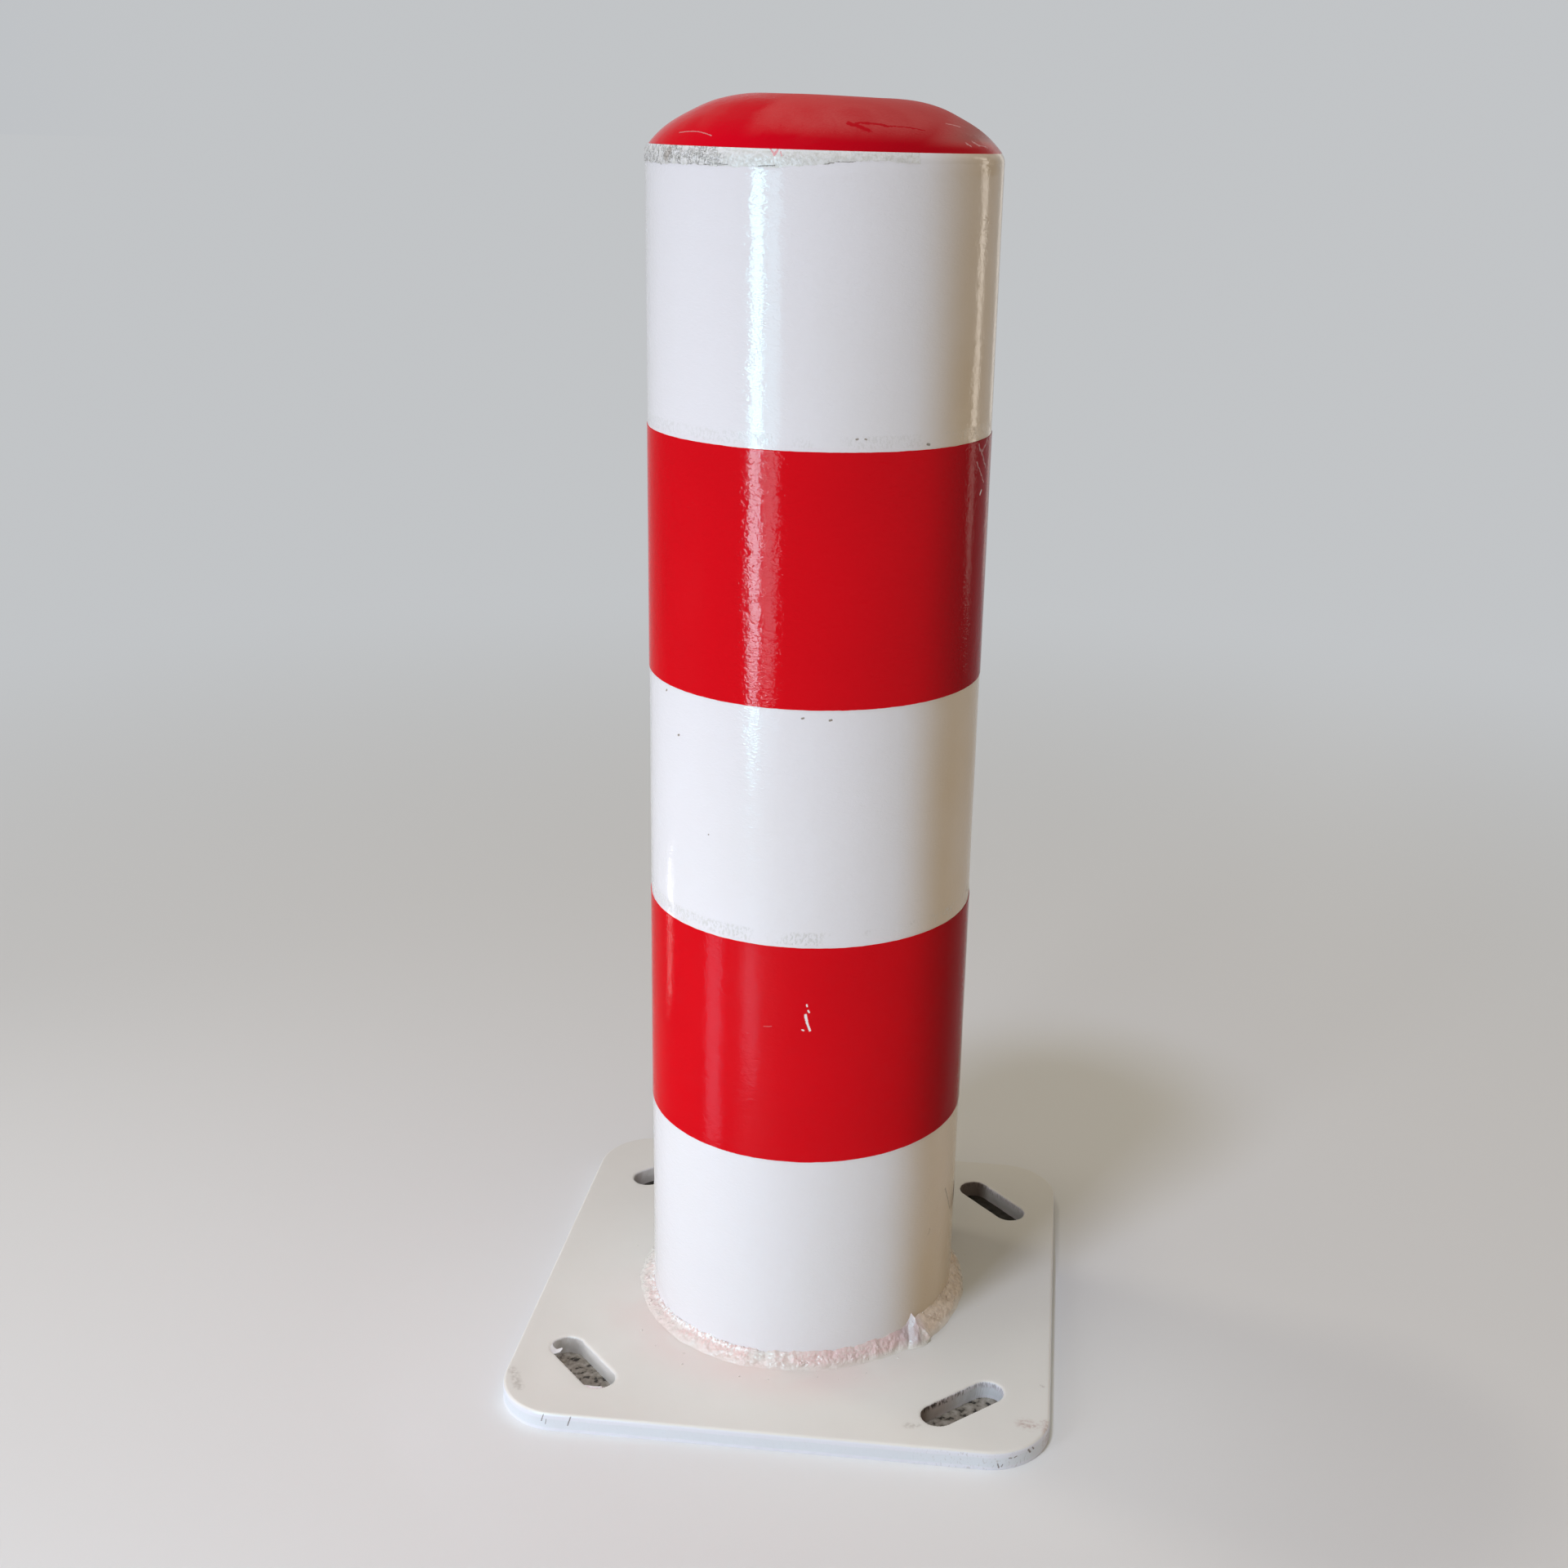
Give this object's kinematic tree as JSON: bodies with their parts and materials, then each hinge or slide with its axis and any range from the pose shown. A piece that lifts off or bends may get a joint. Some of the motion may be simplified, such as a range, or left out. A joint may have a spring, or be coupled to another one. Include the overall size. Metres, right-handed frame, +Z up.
{
  "type": "steel bollard",
  "caption": "Surface-mounted bollard: red and white banded steel tube with a domed cap, welded to a square slotted base plate.",
  "frame": {"origin": "on the ground under the centre of the base plate, on the tube's axis", "axes": "+Z up along the tube; X and Y along the sides of the square plate, with -Y towards the viewer of the picture"},
  "size_m": [0.28, 0.28, 0.635],
  "materials": {
    "plate_paint": "semi-gloss off-white paint over hot-rolled plate, with runs and scuffed corners",
    "white_paint": "high-gloss white paint with orange peel",
    "bead_paint": "thick off-white paint on a lumpy weld, with pink overspray",
    "cap_paint": "red paint, dull and dusty on the crown, rubbed at the edge",
    "seam_paint": "white paint over a coarsely ground weld seam",
    "red_paint": "high-gloss red paint with orange peel, a few scratches and scuffs"
  },
  "bodies": {
    "root": {"base_plate": "plate_paint", "post_tube": "white_paint", "base_weld": "bead_paint", "domed_cap": "cap_paint", "cap_weld": "seam_paint", "red_band_lower": "red_paint", "red_band_upper": "red_paint"}
  },
  "joints": []
}
